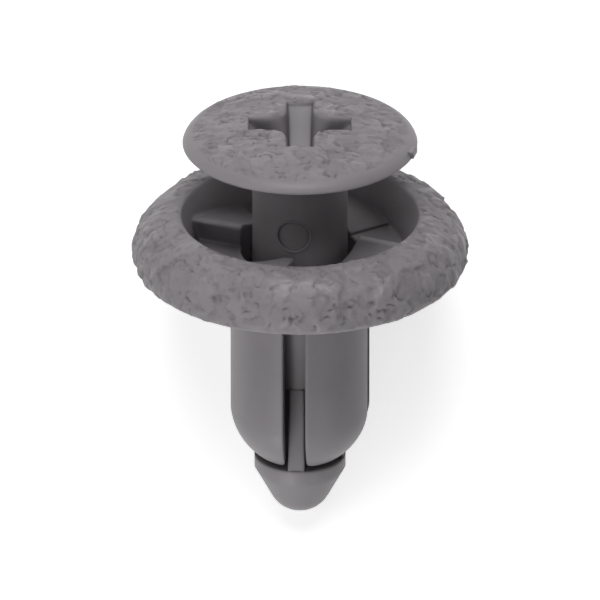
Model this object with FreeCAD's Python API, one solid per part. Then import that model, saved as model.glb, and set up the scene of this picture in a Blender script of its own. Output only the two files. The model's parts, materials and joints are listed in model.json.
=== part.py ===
import FreeCAD
import Part
import math
import os

# Push rivet in moulded plastic: a flanged grommet with four legs and a push pin.
# Both pieces are drawn upright, head up, with the seat of the flange at height zero,
# then laid down together on the flange and the tip.

# Flange of the grommet
FLANGE_R = 10.0
FLANGE_EDGE_ROUND = 0.85
FLANGE_WIDEST_Z = 0.9
CROWN_R = 2.6
LIP_ROUND = 0.25

# Bowl in the flange, with the four cam ramps
FLOOR_Z = 1.05
FLOOR_R = 6.2
BOWL_SLOPE = 21.7
PLATEAU_Z = 2.22
PLATEAU_WIDTH = 0.6
PLATEAU_SHIFT = 0.78
RAMP_FOOT_Z = 1.17
RAMP_SWEEP = 34.0
RAMP_INNER_R = 3.0
RAMP_OUTER_R = 7.6
RAMP_AZIMUTH = 246.5
RAMP_EDGE = 0.12
WELL_R = 3.55
WELL_BOTTOM_Z = -1.5

# Stem of the grommet, cut into four legs
STEM_R = 4.17
LEG_BULGE_R = 3.7
LEG_TOE_R = 2.6
LEG_STRAIGHT_Z = -9.3
LEG_BULGE_Z = -10.9
LEG_END_Z = -12.2
LEG_MOUTH_R = 2.3
BORE_END_Z = -8.6
SLOT_WIDTH = 1.34
SLOT_TOP_Z = -0.9
SLOT_CORNER = 0.4
SLOT_AZIMUTH = 265.0
SLOT_COUNT = 4

# Head of the pin, pulled out
HEAD_UNDER_Z = 8.1
HEAD_LOW_R = 7.03
HEAD_TOP_R = 6.43
HEAD_BAND_Z = 8.8
HEAD_CROWN_Z = 9.62
HEAD_EDGE = 0.1
GATE_WIDTH = 0.9
GATE_HEIGHT = 0.4
GATE_OUT = 0.1
GATE_AZIMUTH = -15.0

# Cross recess in the head
CROSS_RIM_Z = 9.4
CROSS_SPAN = 6.05
CROSS_ARM = 1.5
CROSS_CORNER = 1.2
CROSS_LIP = 0.5
CROSS_LIP_STEPS = 4
CROSS_DEPTH = 2.4
CROSS_ROOT_R = 0.9
CROSS_ROOT_ARM = 1.3
CROSS_ROOT_CORNER = 0.2
SOCKET_DEPTH = 3.1
SOCKET_R = 0.75

# Face cam under the head
CAM_R = 4.4
CAM_DEPTH = 1.25
CAM_CLEARANCE = 0.12

# Shank and tip of the pin
SHANK_FIT = 0.08
SHANK_R = 2.85
SHANK_END_Z = -3.0
TAPER_R = 2.15
TAPER_END_Z = -7.0
CORE_END_Z = -7.3
FIN_R = 2.4
FIN_WIDTH = 0.9
TIP_R = 2.74
TIP_TOP_Z = -12.5
TIP_BAND_Z = -13.25
TIP_ANGLE = 28.0
NOSE_BALL_R = 1.95

# Round mark on the front of the shank
MARK_R = 0.95
MARK_RING = 0.13
MARK_DEPTH = 0.08
MARK_RAISE = 0.04
MARK_Z = 3.3
MARK_AZIMUTH = 262.0

# How far the pin is pushed until its head sits in the bowl
TRAVEL = 4.75

# Where the seams of the turned faces lie, clear of the slots and of the line it rests on
SEAM_AZIMUTH = 45.0

SLOT_PITCH = 360.0 / SLOT_COUNT
CLEAR = 1.0
CROWN_CENTRE_R = FLANGE_R - CROWN_R
EDGE_CENTRE_R = FLANGE_R - FLANGE_EDGE_ROUND
EDGE_CENTRE_Z = FLANGE_EDGE_ROUND
UP = FreeCAD.Vector(0, 0, 1)
ORIGIN = FreeCAD.Vector(0, 0, 0)


def at(radius, height):
    """A point of a turned outline."""
    return FreeCAD.Vector(radius, 0, height)


def line(start, end):
    """A straight edge."""
    return Part.makeLine(start, end)


def arc(start, middle, end):
    """A round edge through three points."""
    return Part.Arc(start, middle, end).toShape()


def turned(edges):
    """The solid swept by a closed half outline round the upright axis."""
    return spun(Part.Face(Part.Wire(edges)).revolve(ORIGIN, UP, 360), SEAM_AZIMUTH)


def cylinder(radius, bottom, top):
    """An upright cylinder between two heights."""
    return Part.makeCylinder(radius, top - bottom, FreeCAD.Vector(0, 0, bottom))


def spun(shape, azimuth):
    """A copy of a shape turned about the upright axis."""
    copy = shape.copy()
    copy.rotate(ORIGIN, UP, azimuth)
    return copy


def ring_of(shape, first_azimuth, count):
    """Copies of a shape at equal steps round the upright axis."""
    return [spun(shape, first_azimuth + 360.0 * step / count) for step in range(count)]


def on_circle(centre_radius, centre_height, radius, angle):
    """A point on a small circle of an outline, at an angle above level."""
    turn = math.radians(angle)
    return at(centre_radius + radius * math.cos(turn), centre_height + radius * math.sin(turn))


def lip_arc(crown_centre):
    """The rounding between the crown and the sloping wall of the bowl, tangent to both."""
    floor_corner = at(FLOOR_R, FLOOR_Z)
    slope = math.radians(BOWL_SLOPE)
    up_wall = at(math.sin(slope), math.cos(slope))
    into_wall = at(math.cos(slope), -math.sin(slope))
    offset = floor_corner + into_wall * LIP_ROUND - crown_centre
    along = offset.dot(up_wall)
    reach = CROWN_R - LIP_ROUND
    climb = math.sqrt(along ** 2 - offset.dot(offset) + reach ** 2) - along
    centre = crown_centre + offset + up_wall * climb
    out = (centre - crown_centre) / reach
    between = (out - into_wall).normalize()
    angle = math.degrees(math.atan2(out.z, out.x))
    return centre + out * LIP_ROUND, centre + between * LIP_ROUND, centre - into_wall * LIP_ROUND, angle


def flange():
    """The thick domed ring with its bowl, still without the ramps."""
    crown_centre = at(CROWN_CENTRE_R, FLANGE_WIDEST_Z)
    lip_start, lip_middle, lip_end, lip_angle = lip_arc(crown_centre)
    crown_middle = on_circle(CROWN_CENTRE_R, FLANGE_WIDEST_Z, CROWN_R, lip_angle / 2)
    edge_middle = on_circle(EDGE_CENTRE_R, EDGE_CENTRE_Z, FLANGE_EDGE_ROUND, -45)
    return turned([
        line(at(0, 0), at(EDGE_CENTRE_R, 0)),
        arc(at(EDGE_CENTRE_R, 0), edge_middle, at(FLANGE_R, EDGE_CENTRE_Z)),
        line(at(FLANGE_R, EDGE_CENTRE_Z), at(FLANGE_R, FLANGE_WIDEST_Z)),
        arc(at(FLANGE_R, FLANGE_WIDEST_Z), crown_middle, lip_start),
        arc(lip_start, lip_middle, lip_end),
        line(lip_end, at(FLOOR_R, FLOOR_Z)),
        line(at(FLOOR_R, FLOOR_Z), at(0, FLOOR_Z)),
        line(at(0, FLOOR_Z), at(0, 0)),
    ])


def upright_panel(start, end, bottom, top):
    """A thin upright rectangle between two plan points, as a section of a ramp."""
    corners = [
        FreeCAD.Vector(start.x, start.y, bottom),
        FreeCAD.Vector(end.x, end.y, bottom),
        FreeCAD.Vector(end.x, end.y, top),
        FreeCAD.Vector(start.x, start.y, top),
    ]
    return Part.makePolygon(corners + corners[:1])


def cam_tooth(grow):
    """One narrow plateau with an upright wall on one side and a ramp on the other."""
    half = PLATEAU_WIDTH / 2 + grow
    low_side = PLATEAU_SHIFT - half
    plateau = Part.makeBox(
        RAMP_OUTER_R - RAMP_INNER_R,
        2 * half,
        PLATEAU_Z + grow,
        FreeCAD.Vector(RAMP_INNER_R, low_side, 0),
    )
    crest = [e for e in plateau.Edges if e.CenterOfMass.y > PLATEAU_SHIFT
             and e.CenterOfMass.z > PLATEAU_Z - RAMP_EDGE and abs(e.tangentAt(0).x) > 0.5]
    plateau = plateau.makeFillet(RAMP_EDGE, crest)
    foot = math.radians(-RAMP_SWEEP)
    high_end = upright_panel(
        FreeCAD.Vector(RAMP_INNER_R, low_side, 0),
        FreeCAD.Vector(RAMP_OUTER_R, low_side, 0),
        0,
        PLATEAU_Z + grow,
    )
    low_end = upright_panel(
        FreeCAD.Vector(RAMP_INNER_R * math.cos(foot), RAMP_INNER_R * math.sin(foot), 0),
        FreeCAD.Vector(RAMP_OUTER_R * math.cos(foot), RAMP_OUTER_R * math.sin(foot), 0),
        0,
        RAMP_FOOT_Z + grow,
    )
    ramp = Part.makeLoft([high_end, low_end], True, True)
    return plateau.fuse(ramp)


def slot_cutter():
    """One slot between two legs, round at the top and with rounded leg corners below."""
    half = SLOT_WIDTH / 2
    wide = half + SLOT_CORNER
    corner_z = LEG_END_Z + SLOT_CORNER
    turn = SLOT_CORNER * math.sqrt(0.5)

    def spot(across, height):
        return FreeCAD.Vector(0, across, height)

    outline = Part.Wire([
        arc(spot(-half, SLOT_TOP_Z - half), spot(0, SLOT_TOP_Z), spot(half, SLOT_TOP_Z - half)),
        line(spot(half, SLOT_TOP_Z - half), spot(half, corner_z)),
        arc(spot(half, corner_z), spot(wide - turn, LEG_END_Z + SLOT_CORNER - turn),
            spot(wide, LEG_END_Z)),
        line(spot(wide, LEG_END_Z), spot(wide, LEG_END_Z - CLEAR)),
        line(spot(wide, LEG_END_Z - CLEAR), spot(-wide, LEG_END_Z - CLEAR)),
        line(spot(-wide, LEG_END_Z - CLEAR), spot(-wide, LEG_END_Z)),
        arc(spot(-wide, LEG_END_Z), spot(turn - wide, LEG_END_Z + SLOT_CORNER - turn),
            spot(-half, corner_z)),
        line(spot(-half, corner_z), spot(-half, SLOT_TOP_Z - half)),
    ])
    return Part.Face(outline).extrude(FreeCAD.Vector(STEM_R + CLEAR, 0, 0))


def stem():
    """The hollow stem before its slots are cut."""
    bore = SHANK_R + SHANK_FIT
    return turned([
        line(at(bore, 0), at(STEM_R, 0)),
        line(at(STEM_R, 0), at(STEM_R, LEG_STRAIGHT_Z)),
        arc(at(STEM_R, LEG_STRAIGHT_Z), at(LEG_BULGE_R, LEG_BULGE_Z), at(LEG_TOE_R, LEG_END_Z)),
        line(at(LEG_TOE_R, LEG_END_Z), at(LEG_MOUTH_R, LEG_END_Z)),
        line(at(LEG_MOUTH_R, LEG_END_Z), at(bore, BORE_END_Z)),
        line(at(bore, BORE_END_Z), at(bore, 0)),
    ])


def grommet():
    """The flanged grommet, one moulding."""
    teeth = ring_of(cam_tooth(0), RAMP_AZIMUTH, SLOT_COUNT)
    body = flange().fuse(teeth)
    body = body.cut(cylinder(SHANK_R + SHANK_FIT, -CLEAR, PLATEAU_Z + CLEAR))
    body = body.fuse(stem())
    body = body.cut(cylinder(WELL_R, WELL_BOTTOM_Z, PLATEAU_Z + CLEAR))
    body = body.cut(ring_of(slot_cutter(), SLOT_AZIMUTH, SLOT_COUNT))
    return body.removeSplitter()


def head():
    """The flat round head with its slanted, rounded edge."""
    band_middle = at((HEAD_LOW_R + HEAD_TOP_R) / 2 + HEAD_EDGE, (HEAD_UNDER_Z + HEAD_BAND_Z) / 2
                     + HEAD_EDGE)
    crown = HEAD_CROWN_Z - HEAD_BAND_Z
    dome_r = (HEAD_TOP_R ** 2 + crown ** 2) / (2 * crown)
    dome_angle = math.degrees(math.acos(HEAD_TOP_R / dome_r))
    crown_middle = on_circle(0, HEAD_CROWN_Z - dome_r, dome_r, (90 + dome_angle) / 2)
    return turned([
        line(at(0, HEAD_UNDER_Z), at(HEAD_LOW_R - HEAD_EDGE, HEAD_UNDER_Z)),
        line(at(HEAD_LOW_R - HEAD_EDGE, HEAD_UNDER_Z), at(HEAD_LOW_R, HEAD_UNDER_Z + HEAD_EDGE)),
        arc(at(HEAD_LOW_R, HEAD_UNDER_Z + HEAD_EDGE), band_middle, at(HEAD_TOP_R, HEAD_BAND_Z)),
        arc(at(HEAD_TOP_R, HEAD_BAND_Z), crown_middle, at(0, HEAD_CROWN_Z)),
        line(at(0, HEAD_CROWN_Z), at(0, HEAD_UNDER_Z)),
    ])


def gate_mark():
    """The small stub left on the edge of the head where the plastic flowed in."""
    stub = Part.makeBox(
        CLEAR + GATE_OUT,
        GATE_WIDTH,
        GATE_HEIGHT,
        FreeCAD.Vector(HEAD_LOW_R - CLEAR, -GATE_WIDTH / 2, HEAD_UNDER_Z + HEAD_EDGE),
    )
    return spun(stub, GATE_AZIMUTH)


def cross_outline(reach, half_arm, corner, height):
    """A level cross with rounded inner corners, as a section of the recess."""
    bend = half_arm + corner
    middle = bend - corner * math.sqrt(0.5)
    level = FreeCAD.Vector(0, 0, height)
    quarter = [
        line(FreeCAD.Vector(reach, -half_arm, 0), FreeCAD.Vector(reach, half_arm, 0)),
        line(FreeCAD.Vector(reach, half_arm, 0), FreeCAD.Vector(bend, half_arm, 0)),
        arc(FreeCAD.Vector(bend, half_arm, 0), FreeCAD.Vector(middle, middle, 0),
            FreeCAD.Vector(half_arm, bend, 0)),
        line(FreeCAD.Vector(half_arm, bend, 0), FreeCAD.Vector(half_arm, reach, 0)),
    ]
    outline = Part.Wire([spun(edge, turn) for turn in (0, 90, 180, 270) for edge in quarter])
    outline.translate(level)
    return outline


def cross_lip(step):
    """A section of the soft lip, wider from step to step along a quarter round."""
    angle = math.pi / 2 * step / (CROSS_LIP_STEPS + 1)
    flare = CROSS_LIP * (1 - math.cos(angle))
    height = CROSS_RIM_Z - CROSS_LIP / 2 + CROSS_LIP * math.sin(angle)
    return cross_outline(CROSS_SPAN / 2 + flare, CROSS_ARM / 2 + flare, CROSS_CORNER - flare, height)


def cross_recess():
    """The cross for the driver: four drafted arms, a soft lip and a deep socket in the middle."""
    root = CROSS_RIM_Z - CROSS_DEPTH
    foot = cross_outline(CROSS_ROOT_R, CROSS_ROOT_ARM / 2, CROSS_ROOT_CORNER, root)
    lips = [cross_lip(step) for step in range(CROSS_LIP_STEPS + 1)]
    arms = Part.makeLoft([foot] + lips, True, True)
    socket = Part.makeCone(SOCKET_R, CROSS_ROOT_R + SOCKET_R / 2, SOCKET_DEPTH,
                           FreeCAD.Vector(0, 0, CROSS_RIM_Z - SOCKET_DEPTH))
    return arms.fuse(socket)


def face_cam():
    """The collar under the head whose notches meet the four ramps."""
    collar = cylinder(CAM_R, HEAD_UNDER_Z - CAM_DEPTH, HEAD_UNDER_Z)
    teeth = ring_of(cam_tooth(CAM_CLEARANCE), RAMP_AZIMUTH, SLOT_COUNT)
    for tooth in teeth:
        tooth.translate(FreeCAD.Vector(0, 0, TRAVEL))
    return collar.cut(teeth)


def shank():
    """The round shank with its taper."""
    return turned([
        line(at(0, HEAD_UNDER_Z), at(SHANK_R, HEAD_UNDER_Z)),
        line(at(SHANK_R, HEAD_UNDER_Z), at(SHANK_R, SHANK_END_Z)),
        line(at(SHANK_R, SHANK_END_Z), at(TAPER_R, TAPER_END_Z)),
        line(at(TAPER_R, TAPER_END_Z), at(TAPER_R, CORE_END_Z)),
        line(at(TAPER_R, CORE_END_Z), at(0, CORE_END_Z)),
        line(at(0, CORE_END_Z), at(0, HEAD_UNDER_Z)),
    ])


def tip():
    """The pointed tip that leads the pin into the hole, with a round nose."""
    slope = math.radians(TIP_ANGLE)
    ball_z = TIP_BAND_Z - (TIP_R * math.cos(slope) - NOSE_BALL_R) / math.sin(slope)
    shoulder = on_circle(0, ball_z, NOSE_BALL_R, -TIP_ANGLE)
    nose_middle = on_circle(0, ball_z, NOSE_BALL_R, -(TIP_ANGLE + 90) / 2)
    point = at(0, ball_z - NOSE_BALL_R)
    return turned([
        line(at(0, TIP_TOP_Z), at(TIP_R, TIP_TOP_Z)),
        line(at(TIP_R, TIP_TOP_Z), at(TIP_R, TIP_BAND_Z)),
        line(at(TIP_R, TIP_BAND_Z), shoulder),
        arc(shoulder, nose_middle, point),
        line(point, at(0, TIP_TOP_Z)),
    ])


def fins():
    """Four fins that join the shank to the tip and run in the slots of the legs."""
    height = CORE_END_Z - TIP_TOP_Z
    web = Part.makeBox(2 * FIN_R, FIN_WIDTH, height, FreeCAD.Vector(-FIN_R, -FIN_WIDTH / 2, TIP_TOP_Z))
    return [spun(web, SLOT_AZIMUTH), spun(web, SLOT_AZIMUTH + SLOT_PITCH)]


def shank_sleeve(inner, outer):
    """A thin sleeve round the shank at the height of the round mark."""
    bottom = MARK_Z - 2 * MARK_R
    top = MARK_Z + 2 * MARK_R
    return cylinder(outer, bottom, top).cut(cylinder(inner, bottom, top))


def mark_plug(radius):
    """A round plug that points out of the shank at the mark."""
    centre = FreeCAD.Vector(0, 0, MARK_Z)
    return spun(Part.makeCylinder(radius, SHANK_R + CLEAR, centre, FreeCAD.Vector(1, 0, 0)), MARK_AZIMUTH)


def pin():
    """The push pin, one moulding, pulled out of the grommet."""
    body = head().fuse([gate_mark(), face_cam(), shank(), tip()] + fins())
    raised = shank_sleeve(SHANK_R - MARK_DEPTH, SHANK_R + MARK_RAISE)
    body = body.fuse(raised.common(mark_plug(MARK_R + MARK_RING)))
    sunk = shank_sleeve(SHANK_R - MARK_DEPTH, SHANK_R + CLEAR)
    body = body.cut(sunk.common(mark_plug(MARK_R)))
    body = body.cut(cross_recess())
    return body.removeSplitter()


def lying_tilt():
    """The angle of the axis above level when the rivet lies on its flange and tip."""
    across = EDGE_CENTRE_R - TIP_R
    along = EDGE_CENTRE_Z - TIP_BAND_Z
    reach = math.hypot(across, along)
    return math.degrees(math.atan2(across, along) + math.asin(FLANGE_EDGE_ROUND / reach))


def laid_down(shape, drop):
    """A piece turned on its side, head end up, and moved so that the rivet lies on the floor."""
    tilt = lying_tilt()
    shape.rotate(ORIGIN, FreeCAD.Vector(1, 0, 0), tilt - 90)
    shape.translate(drop)
    return shape


def main():
    os.makedirs("parts", exist_ok=True)
    pieces = {"grommet": grommet(), "pin": pin()}
    both = Part.makeCompound([laid_down(piece, ORIGIN) for piece in pieces.values()])
    box = both.optimalBoundingBox(False, False)
    drop = FreeCAD.Vector(-(box.XMin + box.XMax) / 2, -(box.YMin + box.YMax) / 2, -box.ZMin)
    for name, piece in pieces.items():
        piece.translate(drop)
        piece.exportStep("parts/" + name + ".step")


main()
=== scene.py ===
import json
import math

import bmesh
import bpy
from bpy.props import FloatProperty, FloatVectorProperty, IntProperty, PointerProperty
from mathutils import Matrix, Vector, noise


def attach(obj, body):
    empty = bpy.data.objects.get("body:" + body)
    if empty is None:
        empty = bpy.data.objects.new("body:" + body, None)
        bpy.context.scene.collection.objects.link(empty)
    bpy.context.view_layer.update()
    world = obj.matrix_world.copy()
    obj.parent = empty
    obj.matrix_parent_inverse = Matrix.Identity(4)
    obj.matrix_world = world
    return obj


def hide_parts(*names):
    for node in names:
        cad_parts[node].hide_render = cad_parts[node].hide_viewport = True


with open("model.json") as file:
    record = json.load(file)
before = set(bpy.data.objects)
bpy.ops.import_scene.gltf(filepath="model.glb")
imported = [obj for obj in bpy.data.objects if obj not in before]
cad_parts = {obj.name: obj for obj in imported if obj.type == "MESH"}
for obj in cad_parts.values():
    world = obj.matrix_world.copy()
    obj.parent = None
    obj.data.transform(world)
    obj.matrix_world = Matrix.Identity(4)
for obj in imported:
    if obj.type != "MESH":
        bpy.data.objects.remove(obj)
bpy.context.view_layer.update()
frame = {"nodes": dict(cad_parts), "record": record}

bl_info = {
    "name": "Push rivet looks",
    "version": (1, 0, 0),
    "blender": (4, 5, 0),
    "location": "3D View > Sidebar > Rivet",
    "description": "Finishes the two mouldings of a push rivet and sets the stage around them",
    "category": "Object",
}

MM = 0.001

# Faces of a piece are satin or grained, and the number is also the material's place
SATIN = 0
GRAINED = 1

# The mesh keeps the height of the grain under this name, for the materials, which take the gloss
# from it and paint shade into the grain's dips and light onto its tops
GRAIN = "grain"

# Points of a solid's mesh nearer than this are one, and shorter edges go
WELD = 0.002 * MM
SHORTEST_EDGE = 0.001 * MM

# How far from a skin a face may lie, and how well it has to follow it, to be grained
OFF_SKIN = 0.004 * MM
SKIN_AGREEMENT = 0.94

# Edges that turn by more than this stay crisp
CRISP_ANGLE = math.radians(28)

# The fins' outer corners lie below this height, at their radius to within the margin
FINS_BELOW = -7 * MM
CORNER_MARGIN = 0.01 * MM

# Leather grain, with frequencies and widths in grain sizes
LARGE_SHARPNESS = 24
FINE_SHARPNESS = 20
FINE_FREQUENCY = 2.1
FINE_HEIGHT = 0.6
SWELL_FREQUENCY = 0.5
SWELL_HEIGHT = 0.4
CREASE_FREQUENCY = 1.5
CREASE_WIDTH = 0.16
CREASE_DEPTH = 0.5
PATCH_FREQUENCY = 1.3
BEND = 0.5
BEND_FREQUENCY = 0.9
HEIGHT_FREQUENCY = 7.3

# The grain fades towards the underside of the flange, its bowl and the rim of the head
FADE_HEIGHT = 0.5 * MM
LIP_SHARE = 0.5
RIM_WIDTH = 0.3 * MM
RIM_FADE = 0.4

# Plastic
MOTTLE_SIZE = 2.5 * MM
TINT_SWING = 0.1
SPECULAR = 0.45
GRAIN_SPAN = 0.7
GLOSS_SWING = 0.07
POLISH = 0.2


def lying_matrix():
    """Takes the rivet from upright, with the flange's seat at height zero, to where it lies."""
    mounts = {mount["name"]: mount for mount in frame["record"]["mounts"]}
    up = -Vector(mounts["stem"]["axis"]).normalized()
    on_axis = Vector(mounts["stem"]["pos_m"])
    on_seat = Vector(mounts["seat"]["pos_m"])
    origin = on_axis + up * (on_seat - on_axis).dot(up)
    right = Vector((1, 0, 0))
    turn = Matrix((right, up.cross(right), up)).transposed()
    return Matrix.LocRotScale(origin, turn, None)


LYING = lying_matrix()


class GrommetSettings(bpy.types.PropertyGroup):
    """Outline of the flange, as far as its skin needs it."""

    flange_radius: FloatProperty(
        name="Flange radius", description="Outer radius of the flange",
        default=10 * MM, unit="LENGTH")
    crown_radius: FloatProperty(
        name="Crown radius", description="Radius of the rounded top of the flange in section",
        default=2.6 * MM, unit="LENGTH")
    edge_radius: FloatProperty(
        name="Edge radius", description="Radius of the rounded lower edge of the flange in section",
        default=0.85 * MM, unit="LENGTH")
    widest_height: FloatProperty(
        name="Widest height", description="Height at which the crown of the flange starts",
        default=0.9 * MM, unit="LENGTH")


class PinSettings(bpy.types.PropertyGroup):
    """Outline of the head, as far as its skin needs it."""

    dome_radius: FloatProperty(
        name="Dome edge radius", description="Radius of the head where its top starts",
        default=6.43 * MM, unit="LENGTH")
    dome_low: FloatProperty(
        name="Dome edge height", description="Height of the edge of the head's top",
        default=8.8 * MM, unit="LENGTH")
    dome_high: FloatProperty(
        name="Dome height", description="Height of the middle of the head's top",
        default=9.62 * MM, unit="LENGTH")
    fin_reach: FloatProperty(
        name="Fin reach", description="Radius of the fins in the solid",
        default=2.4 * MM, unit="LENGTH")
    fin_half_width: FloatProperty(
        name="Fin half width", description="Half the thickness of a fin",
        default=0.45 * MM, unit="LENGTH")
    fin_top_reach: FloatProperty(
        name="Fin top reach", description="Radius at which a fin leaves the shank",
        default=2.17 * MM, unit="LENGTH")
    fin_foot_reach: FloatProperty(
        name="Fin foot reach", description="Radius at which a fin meets the tip",
        default=2.68 * MM, unit="LENGTH")


class FinishSettings(bpy.types.PropertyGroup):
    """Colour, gloss and grain of the plastic, with the painted shade in its hollows and in the
    grain's dips.
    """

    colour: FloatVectorProperty(
        name="Plastic colour", description="Colour of the moulded plastic",
        default=(0.27, 0.2525, 0.2675), size=3, min=0, max=1, subtype="COLOR")
    satin_roughness: FloatProperty(
        name="Satin roughness", description="Roughness of the smooth walls",
        default=0.46, min=0, max=1, subtype="FACTOR")
    grained_roughness: FloatProperty(
        name="Grained roughness", description="Roughness of the grained skin",
        default=0.58, min=0, max=1, subtype="FACTOR")
    # Painted shade: the colour is darkened where walls stand near, as shade falls deep in the
    # hollows
    painted_hollow_shade: FloatProperty(
        name="Hollow shade", description="How much of the colour is left deep in the hollows",
        default=0.35, min=0, max=1, subtype="FACTOR")
    painted_hollow_reach: FloatProperty(
        name="Hollow reach", description="How near the walls of a hollow have to be",
        default=1.8 * MM, unit="LENGTH")
    # Painted light and shade: the colour is darkened in the grain's dips and lightened on its tops
    painted_grain_shade: FloatProperty(
        name="Crease shade", description="How much of the colour is left in the dips of the grain",
        default=0.9, min=0, max=1, subtype="FACTOR")
    grain_size: FloatProperty(
        name="Grain size", description="Width of one plateau of the leather grain",
        default=0.95 * MM, unit="LENGTH")
    grain_depth: FloatProperty(
        name="Grain depth", description="Scale of the grain's ups and downs",
        default=0.18 * MM, unit="LENGTH")
    mesh_size: FloatProperty(
        name="Mesh size", description="Longest edge of the mesh in the grained skin",
        default=0.12 * MM, unit="LENGTH")
    edge_softness: FloatProperty(
        name="Edge softness", description="Radius that the light sees on every moulded edge",
        default=0.26 * MM, unit="LENGTH")
    grain_seed: IntProperty(
        name="Grain seed", description="Picks another piece of the same grain",
        default=7, min=0)


class StageSettings(bpy.types.PropertyGroup):
    """Camera and light."""

    view_distance: FloatProperty(
        name="View distance", description="From the camera to the middle of the picture",
        default=2.4, unit="LENGTH")
    pixels_per_mm: FloatProperty(
        name="Pixels per millimetre", description="Scale of the picture, which is 600 pixels wide",
        default=16.7)
    aim_height: FloatProperty(
        name="Aim height", description="Height on the rivet's axis that the camera looks at",
        default=-2.32 * MM, unit="LENGTH")
    view_lean: FloatProperty(
        name="View lean", description="How far the view leans from straight down to the tip's side",
        default=math.radians(1.26), subtype="ANGLE")
    lamp_level: FloatProperty(
        name="Lamp level", description="Scales all lamps together", default=1.0, min=0)


# Grain

def smooth_step(low, high, value):
    """Zero below low, one above high, and a soft ramp between."""
    share = min(1.0, max(0.0, (value - low) / (high - low)))
    return share * share * (3 - 2 * share)


def plateaus(spot, sharpness):
    """Height of uneven plateaus, one per cell, with steps as soft as the sharpness allows."""
    bent = spot + BEND * noise.turbulence_vector(BEND_FREQUENCY * spot, 2, False)
    distances, centres = noise.voronoi(bent)
    weights = [math.exp(sharpness * (distances[0] - distance)) for distance in distances]
    heights = [noise.noise(HEIGHT_FREQUENCY * centre) for centre in centres]
    return sum(weight * height for weight, height in zip(weights, heights)) / sum(weights)


def grain_height(spot):
    """Height of the leather grain, round about zero, at a point given in grain sizes."""
    large = plateaus(spot, LARGE_SHARPNESS)
    fine = FINE_HEIGHT * plateaus(FINE_FREQUENCY * spot + Vector((9.4, 2.2, 6.1)), FINE_SHARPNESS)
    swell = SWELL_HEIGHT * noise.noise(SWELL_FREQUENCY * spot)
    beside = abs(noise.noise(CREASE_FREQUENCY * spot + Vector((2.6, 5.3, 8.8))))
    line = 1 - smooth_step(0, CREASE_WIDTH, beside)
    here = smooth_step(0.05, 0.4, noise.noise(PATCH_FREQUENCY * spot + Vector((7.7, 1.4, 3.9))))
    return large + fine + swell - CREASE_DEPTH * line * here


def flange_skin(settings):
    """Gives the nearest point, the normal and the share of the grain on the flange's outside."""
    widest = settings.flange_radius
    crown = Vector((widest - settings.crown_radius, settings.widest_height))
    edge = Vector((widest - settings.edge_radius, settings.edge_radius))

    def skin(point):
        around = Vector((point.x, point.y, 0)).normalized()
        spot = Vector((Vector((point.x, point.y)).length, point.z))
        if spot.y > crown.y:
            centre, radius = crown, settings.crown_radius
        elif spot.y < edge.y:
            centre, radius = edge, settings.edge_radius
        else:
            centre, radius = Vector((edge.x, spot.y)), settings.edge_radius
        out = (spot - centre).normalized()
        on_outline = centre + out * radius
        outside = LIP_SHARE + (1 - LIP_SHARE) * smooth_step(-0.3, 0.1, out.x)
        share = smooth_step(0, FADE_HEIGHT, on_outline.y) * outside
        return (around * on_outline.x + Vector((0, 0, on_outline.y)),
                around * out.x + Vector((0, 0, out.y)), share)

    return skin


def dome_skin(settings):
    """Gives the nearest point, the normal and the share of the grain on the head's top."""
    rise = settings.dome_high - settings.dome_low
    radius = (settings.dome_radius ** 2 + rise ** 2) / (2 * rise)
    centre = Vector((0, 0, settings.dome_high - radius))

    def skin(point):
        out = (point - centre).normalized()
        across = Vector((point.x, point.y)).length
        near_rim = smooth_step(settings.dome_radius - RIM_WIDTH, settings.dome_radius, across)
        share = 1 - RIM_FADE * near_rim
        return centre + out * radius, out, share

    return skin


# Mesh

def upright_copy(node):
    """A merged copy of a moulding's mesh, stood upright."""
    bm = bmesh.new()
    bm.from_mesh(frame["nodes"][node].data)
    bmesh.ops.remove_doubles(bm, verts=bm.verts, dist=WELD)
    bmesh.ops.dissolve_degenerate(bm, edges=bm.edges, dist=SHORTEST_EDGE)
    bmesh.ops.transform(bm, matrix=LYING.inverted(), verts=bm.verts)
    for face in bm.faces:
        face.smooth = True
        face.material_index = SATIN
    return bm


def mark_corners(bm):
    """Marks the edges that turn sharply, so that the walls beside them stay crisp."""
    for edge in bm.edges:
        edge.smooth = len(edge.link_faces) == 2 and edge.calc_face_angle(0) < CRISP_ANGLE


def pick_skin(bm, skin):
    """Marks the faces that lie on a skin as grained."""
    for face in bm.faces:
        normals_agree = skin(face.calc_center_median())[1].dot(face.normal) > SKIN_AGREEMENT
        on_skin = all((skin(vert.co)[0] - vert.co).length < OFF_SKIN for vert in face.verts)
        if normals_agree and on_skin:
            face.material_index = GRAINED


def grained_faces(bm):
    """The faces that carry the grain."""
    return [face for face in bm.faces if face.material_index == GRAINED]


def refine(bm, skin, longest):
    """Splits the grained faces until no edge is longer than a length, new points on the skin."""
    while True:
        edges = {edge for face in grained_faces(bm) for edge in face.edges}
        long_edges = [edge for edge in edges if edge.calc_length() > longest]
        if not long_edges:
            return
        made = bmesh.ops.subdivide_edges(bm, edges=long_edges, cuts=1)
        points = [item for item in made["geom_inner"] if isinstance(item, bmesh.types.BMVert)]
        for point in points:
            point.co = skin(point.co)[0]
        wide = {face for point in points for face in point.link_faces if len(face.verts) > 3}
        bmesh.ops.triangulate(bm, faces=list(wide))
        faces = grained_faces(bm)
        inner = {edge for face in faces for edge in face.edges
                 if all(side.material_index == GRAINED for side in edge.link_faces)}
        bmesh.ops.beautify_fill(bm, faces=faces, edges=list(inner), method="ANGLE")


def press_grain(bm, skin, finish):
    """Presses the leather grain into the grained faces."""
    start = Vector((1.7, 0.9, 2.3)) * finish.grain_seed
    heights = bm.verts.layers.float.new(GRAIN)
    for vert in {vert for face in grained_faces(bm) for vert in face.verts}:
        on_skin, normal, share = skin(vert.co)
        vert[heights] = share * grain_height(on_skin / finish.grain_size + start)
        vert.co = vert.co + normal * finish.grain_depth * vert[heights]


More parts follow.
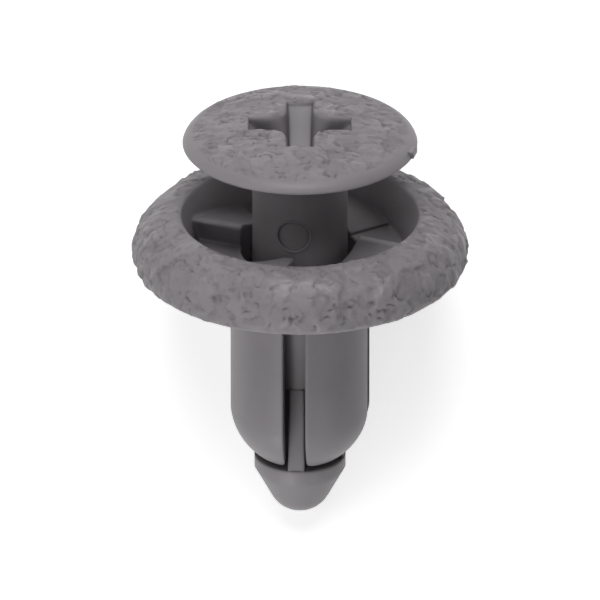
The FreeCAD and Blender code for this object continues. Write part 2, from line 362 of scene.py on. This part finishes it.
def slope_fins(bm, settings):
    """Lets the fins run smoothly out of the shank and into the tip."""
    corner = Vector((settings.fin_reach, settings.fin_half_width)).length
    outer = [vert for vert in bm.verts
             if abs(vert.co.xy.length - corner) < CORNER_MARGIN and vert.co.z < FINS_BELOW]
    top = max(vert.co.z for vert in outer)
    foot = min(vert.co.z for vert in outer)
    for vert in outer:
        share = (top - vert.co.z) / (top - foot)
        reach = settings.fin_top_reach + share * (settings.fin_foot_reach - settings.fin_top_reach)
        wanted = Vector((reach, settings.fin_half_width)).length
        vert.co.xy = vert.co.xy * (wanted / corner)


def moulding(name, node, skin, materials, reshape=None):
    """A piece made from a node's own mesh, with the grain pressed into its skin."""
    finish = bpy.context.scene.rivet_finish
    bm = upright_copy(node)
    if reshape:
        reshape(bm)
    mark_corners(bm)
    pick_skin(bm, skin)
    refine(bm, skin, finish.mesh_size)
    press_grain(bm, skin, finish)
    bmesh.ops.transform(bm, matrix=LYING, verts=bm.verts)
    mesh = bpy.data.meshes.new(name)
    bm.to_mesh(mesh)
    bm.free()
    for material in materials:
        mesh.materials.append(material)
    piece = bpy.data.objects.new(name, mesh)
    bpy.context.scene.collection.objects.link(piece)
    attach(piece, node)
    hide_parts(node)
    return piece


# Materials

def add_node(tree, kind, **inputs):
    """A new shader node with values on its sockets."""
    node = tree.nodes.new(kind)
    for name, value in inputs.items():
        node.inputs[name.replace("_", " ")].default_value = value
    return node


def skin_group():
    """A node group with the slight mottle and the fine matt texture of moulded plastic."""
    found = bpy.data.node_groups.get("moulded skin")
    if found:
        return found
    group = bpy.data.node_groups.new("moulded skin", "ShaderNodeTree")
    group.interface.new_socket("Vector", in_out="INPUT", socket_type="NodeSocketVector")
    for name in ("Mottle Scale", "Fine Scale"):
        group.interface.new_socket(name, in_out="INPUT", socket_type="NodeSocketFloat")
    for name in ("Mottle", "Fine"):
        group.interface.new_socket(name, in_out="OUTPUT", socket_type="NodeSocketFloat")
    inside = group.nodes.new("NodeGroupInput")
    outside = group.nodes.new("NodeGroupOutput")
    mottle = add_node(group, "ShaderNodeTexNoise", Detail=4.0, Roughness=0.6)
    fine = add_node(group, "ShaderNodeTexNoise", Detail=3.0, Roughness=0.55)
    for texture, scale, result in ((mottle, "Mottle Scale", "Mottle"), (fine, "Fine Scale", "Fine")):
        group.links.new(inside.outputs["Vector"], texture.inputs["Vector"])
        group.links.new(inside.outputs[scale], texture.inputs["Scale"])
        group.links.new(texture.outputs["Fac"], outside.inputs[result])
    return group


def times(tree, colour, factor):
    """A colour scaled by a value."""
    node = tree.nodes.new("ShaderNodeVectorMath")
    node.operation = "SCALE"
    tree.links.new(colour, node.inputs[0])
    tree.links.new(factor, node.inputs["Scale"])
    return node.outputs[0]


def plastic(name, finish, roughness, fine_size, fine_depth):
    """A moulded plastic with a faint mottle, a matt skin, soft edges, painted shade in its hollows,
    and painted shade in the grain's dips with painted light on its tops.
    """
    material = bpy.data.materials.new(name)
    material.use_nodes = True
    tree = material.node_tree
    shader = tree.nodes["Principled BSDF"]
    shader.inputs["Roughness"].default_value = roughness
    shader.inputs["Specular IOR Level"].default_value = SPECULAR
    place = add_node(tree, "ShaderNodeTexCoord")
    skin = tree.nodes.new("ShaderNodeGroup")
    skin.node_tree = skin_group()
    skin.inputs["Mottle Scale"].default_value = 1 / MOTTLE_SIZE
    skin.inputs["Fine Scale"].default_value = 1 / fine_size
    tree.links.new(place.outputs["Object"], skin.inputs["Vector"])

    tint = tree.nodes.new("ShaderNodeMix")
    tint.data_type = "RGBA"
    tint.inputs["A"].default_value = [*((1 - TINT_SWING) * part for part in finish.colour), 1]
    tint.inputs["B"].default_value = [*((1 + TINT_SWING) * part for part in finish.colour), 1]
    tree.links.new(skin.outputs["Mottle"], tint.inputs["Factor"])

    # Painted shade: the colour darkens where walls stand within reach, for the shade in hollows
    openness = add_node(tree, "ShaderNodeAmbientOcclusion", Distance=finish.painted_hollow_reach)
    openness.only_local = True
    openness.samples = 8
    hollow_painted_shade = add_node(tree, "ShaderNodeMapRange", From_Min=0.4, From_Max=0.95,
                      To_Min=finish.painted_hollow_shade, To_Max=1.0)
    tree.links.new(openness.outputs["AO"], hollow_painted_shade.inputs["Value"])
    # Painted light and shade: the grain's height darkens the colour in its dips and lightens it on
    # its tops
    grain = tree.nodes.new("ShaderNodeAttribute")
    grain.attribute_name = GRAIN
    grain_painted_shading = add_node(tree, "ShaderNodeMapRange", From_Min=-GRAIN_SPAN, From_Max=GRAIN_SPAN,
                      To_Min=finish.painted_grain_shade, To_Max=2 - finish.painted_grain_shade)
    tree.links.new(grain.outputs["Fac"], grain_painted_shading.inputs["Value"])
    shaded = times(tree, tint.outputs["Result"], hollow_painted_shade.outputs["Result"])
    shaded = times(tree, shaded, grain_painted_shading.outputs["Result"])
    tree.links.new(shaded, shader.inputs["Base Color"])

    matt = add_node(tree, "ShaderNodeMapRange",
                    To_Min=roughness - GLOSS_SWING, To_Max=roughness + GLOSS_SWING)
    tree.links.new(skin.outputs["Fine"], matt.inputs["Value"])
    worn = add_node(tree, "ShaderNodeMapRange",
                    From_Min=0.0, From_Max=GRAIN_SPAN, To_Min=0.0, To_Max=POLISH)
    tree.links.new(grain.outputs["Fac"], worn.inputs["Value"])
    gloss = tree.nodes.new("ShaderNodeMath")
    gloss.operation = "SUBTRACT"
    tree.links.new(matt.outputs["Result"], gloss.inputs[0])
    tree.links.new(worn.outputs["Result"], gloss.inputs[1])
    tree.links.new(gloss.outputs[0], shader.inputs["Roughness"])

    rounded = add_node(tree, "ShaderNodeBevel", Radius=finish.edge_softness)
    rounded.samples = 6
    bump = add_node(tree, "ShaderNodeBump", Strength=1.0, Distance=fine_depth)
    tree.links.new(skin.outputs["Fine"], bump.inputs["Height"])
    tree.links.new(rounded.outputs["Normal"], bump.inputs["Normal"])
    tree.links.new(bump.outputs["Normal"], shader.inputs["Normal"])
    return material


def plastics(piece_name):
    """The satin and the grained finish of one moulding."""
    finish = bpy.context.scene.rivet_finish
    return [
        plastic(piece_name + " satin", finish, finish.satin_roughness, 0.18 * MM, 0.004 * MM),
        plastic(piece_name + " grained", finish, finish.grained_roughness, 0.22 * MM, 0.02 * MM),
    ]


# Stage

FLOOR_REACH = 1.5
FLOOR_GLOW = 0.7
AMBIENT = 0.04
LAMP_DISTANCE = 0.6


def seen_directly(tree):
    """One for the camera's rays and for those that mirrors and glass send on, zero for the rest."""
    path = tree.nodes.new("ShaderNodeLightPath")
    seen = tree.nodes.new("ShaderNodeMath")
    seen.operation = "MAXIMUM"
    tree.links.new(path.outputs["Is Camera Ray"], seen.inputs[0])
    tree.links.new(path.outputs["Is Glossy Ray"], seen.inputs[1])
    either = tree.nodes.new("ShaderNodeMath")
    either.operation = "MAXIMUM"
    tree.links.new(seen.outputs[0], either.inputs[0])
    tree.links.new(path.outputs["Is Transmission Ray"], either.inputs[1])
    return either.outputs[0]


def floor_material():
    """A pale floor that the camera sees as white, with the shadow kept."""
    material = bpy.data.materials.new("pale floor")
    material.use_nodes = True
    tree = material.node_tree
    shader = tree.nodes["Principled BSDF"]
    shader.inputs["Base Color"].default_value = (0.8, 0.8, 0.8, 1)
    shader.inputs["Roughness"].default_value = 0.9
    shader.inputs["Specular IOR Level"].default_value = 0.2
    shader.inputs["Emission Color"].default_value = (1, 1, 1, 1)
    glow = add_node(tree, "ShaderNodeMapRange", To_Min=0.0, To_Max=FLOOR_GLOW)
    tree.links.new(seen_directly(tree), glow.inputs["Value"])
    tree.links.new(glow.outputs["Result"], shader.inputs["Emission Strength"])
    return material


def make_floor():
    """The plane that the rivet lies on."""
    bm = bmesh.new()
    bmesh.ops.create_grid(bm, x_segments=1, y_segments=1, size=FLOOR_REACH)
    mesh = bpy.data.meshes.new("floor")
    bm.to_mesh(mesh)
    bm.free()
    mesh.materials.append(floor_material())
    floor = bpy.data.objects.new("floor", mesh)
    bpy.context.scene.collection.objects.link(floor)


def make_world():
    """Faint light from all round, which looks white to the camera, mirrors and glass."""
    world = bpy.data.worlds.new("studio")
    bpy.context.scene.world = world
    world.use_nodes = True
    tree = world.node_tree
    background = tree.nodes["Background"]
    background.inputs["Color"].default_value = (1, 1, 1, 1)
    level = add_node(tree, "ShaderNodeMapRange", To_Min=AMBIENT, To_Max=1.0)
    tree.links.new(seen_directly(tree), level.inputs["Value"])
    tree.links.new(level.outputs["Result"], background.inputs["Strength"])


def make_lamp(name, azimuth, elevation, width, power):
    """A square soft box towards a direction in degrees, its width in metres and power in watts."""
    level = bpy.context.scene.rivet_stage.lamp_level
    turn, rise = math.radians(azimuth), math.radians(elevation)
    away = Vector((math.cos(turn) * math.cos(rise), math.sin(turn) * math.cos(rise), math.sin(rise)))
    light = bpy.data.lights.new(name, "AREA")
    light.size = width
    light.energy = power * level
    lamp = bpy.data.objects.new(name, light)
    lamp.location = away * LAMP_DISTANCE
    lamp.rotation_mode = "QUATERNION"
    lamp.rotation_quaternion = away.to_track_quat("Z", "Y")
    lamp.visible_camera = False
    bpy.context.scene.collection.objects.link(lamp)


def make_camera():
    """The camera at the photo's angle, over the lying rivet."""
    stage = bpy.context.scene.rivet_stage
    data = bpy.data.cameras.new("camera")
    data.sensor_width = 36
    picture_width = 600 / stage.pixels_per_mm * MM
    data.lens = data.sensor_width * stage.view_distance / picture_width
    data.clip_start, data.clip_end = 0.01, 10
    camera = bpy.data.objects.new("camera", data)
    back = Vector((0, -math.sin(stage.view_lean), math.cos(stage.view_lean)))
    camera.location = LYING @ Vector((0, 0, stage.aim_height)) + back * stage.view_distance
    camera.rotation_mode = "QUATERNION"
    camera.rotation_quaternion = back.to_track_quat("Z", "Y")
    bpy.context.scene.collection.objects.link(camera)
    bpy.context.scene.camera = camera


class RIVET_OT_grommet(bpy.types.Operator):
    """Makes the grommet with its grained flange and satin legs"""

    bl_idname = "rivet.grommet"
    bl_label = "Grommet"

    def execute(self, context):
        skin = flange_skin(context.scene.rivet_grommet)
        piece = moulding("grommet_moulding", "grommet", skin, plastics("grommet"))
        return {"FINISHED"}


class RIVET_OT_pin(bpy.types.Operator):
    """Makes the push pin with its grained head and satin shank"""

    bl_idname = "rivet.pin"
    bl_label = "Push pin"

    def execute(self, context):
        settings = context.scene.rivet_pin
        piece = moulding("pin_moulding", "pin", dome_skin(settings), plastics("pin"),
                         lambda bm: slope_fins(bm, settings))
        return {"FINISHED"}


class RIVET_OT_stage(bpy.types.Operator):
    """Sets the floor, the light and the camera"""

    bl_idname = "rivet.stage"
    bl_label = "Stage"

    def execute(self, context):
        context.scene.view_settings.view_transform = "Standard"
        make_floor()
        make_world()
        make_lamp("top soft box", 94, 53, 0.35, 2.2)
        make_lamp("front soft box", 248, 22, 0.3, 0.7)
        make_lamp("low soft box", 250, 8, 0.18, 0.62)
        make_lamp("left soft box", 183, 42, 0.3, 0.36)
        make_lamp("right soft box", 300, 10, 0.2, 0.24)
        make_camera()
        return {"FINISHED"}


class RIVET_PT_panel(bpy.types.Panel):
    """Lists the steps that make the rivet"""

    bl_idname = "RIVET_PT_panel"
    bl_label = "Push rivet"
    bl_space_type = "VIEW_3D"
    bl_region_type = "UI"
    bl_category = "Rivet"

    def draw(self, context):
        for operator in OPERATORS:
            self.layout.operator(operator.bl_idname)


OPERATORS = (RIVET_OT_grommet, RIVET_OT_pin, RIVET_OT_stage)
SETTINGS = {
    "rivet_grommet": GrommetSettings,
    "rivet_pin": PinSettings,
    "rivet_finish": FinishSettings,
    "rivet_stage": StageSettings,
}


def register():
    for name, group in SETTINGS.items():
        bpy.utils.register_class(group)
        setattr(bpy.types.Scene, name, PointerProperty(type=group))
    for cls in (*OPERATORS, RIVET_PT_panel):
        bpy.utils.register_class(cls)


def unregister():
    for cls in (RIVET_PT_panel, *reversed(OPERATORS)):
        bpy.utils.unregister_class(cls)
    for name, group in reversed(SETTINGS.items()):
        delattr(bpy.types.Scene, name)
        bpy.utils.unregister_class(group)


def main():
    register()
    bpy.ops.rivet.grommet()
    bpy.ops.rivet.pin()
    bpy.ops.rivet.stage()


if __name__ == "__main__":
    main()
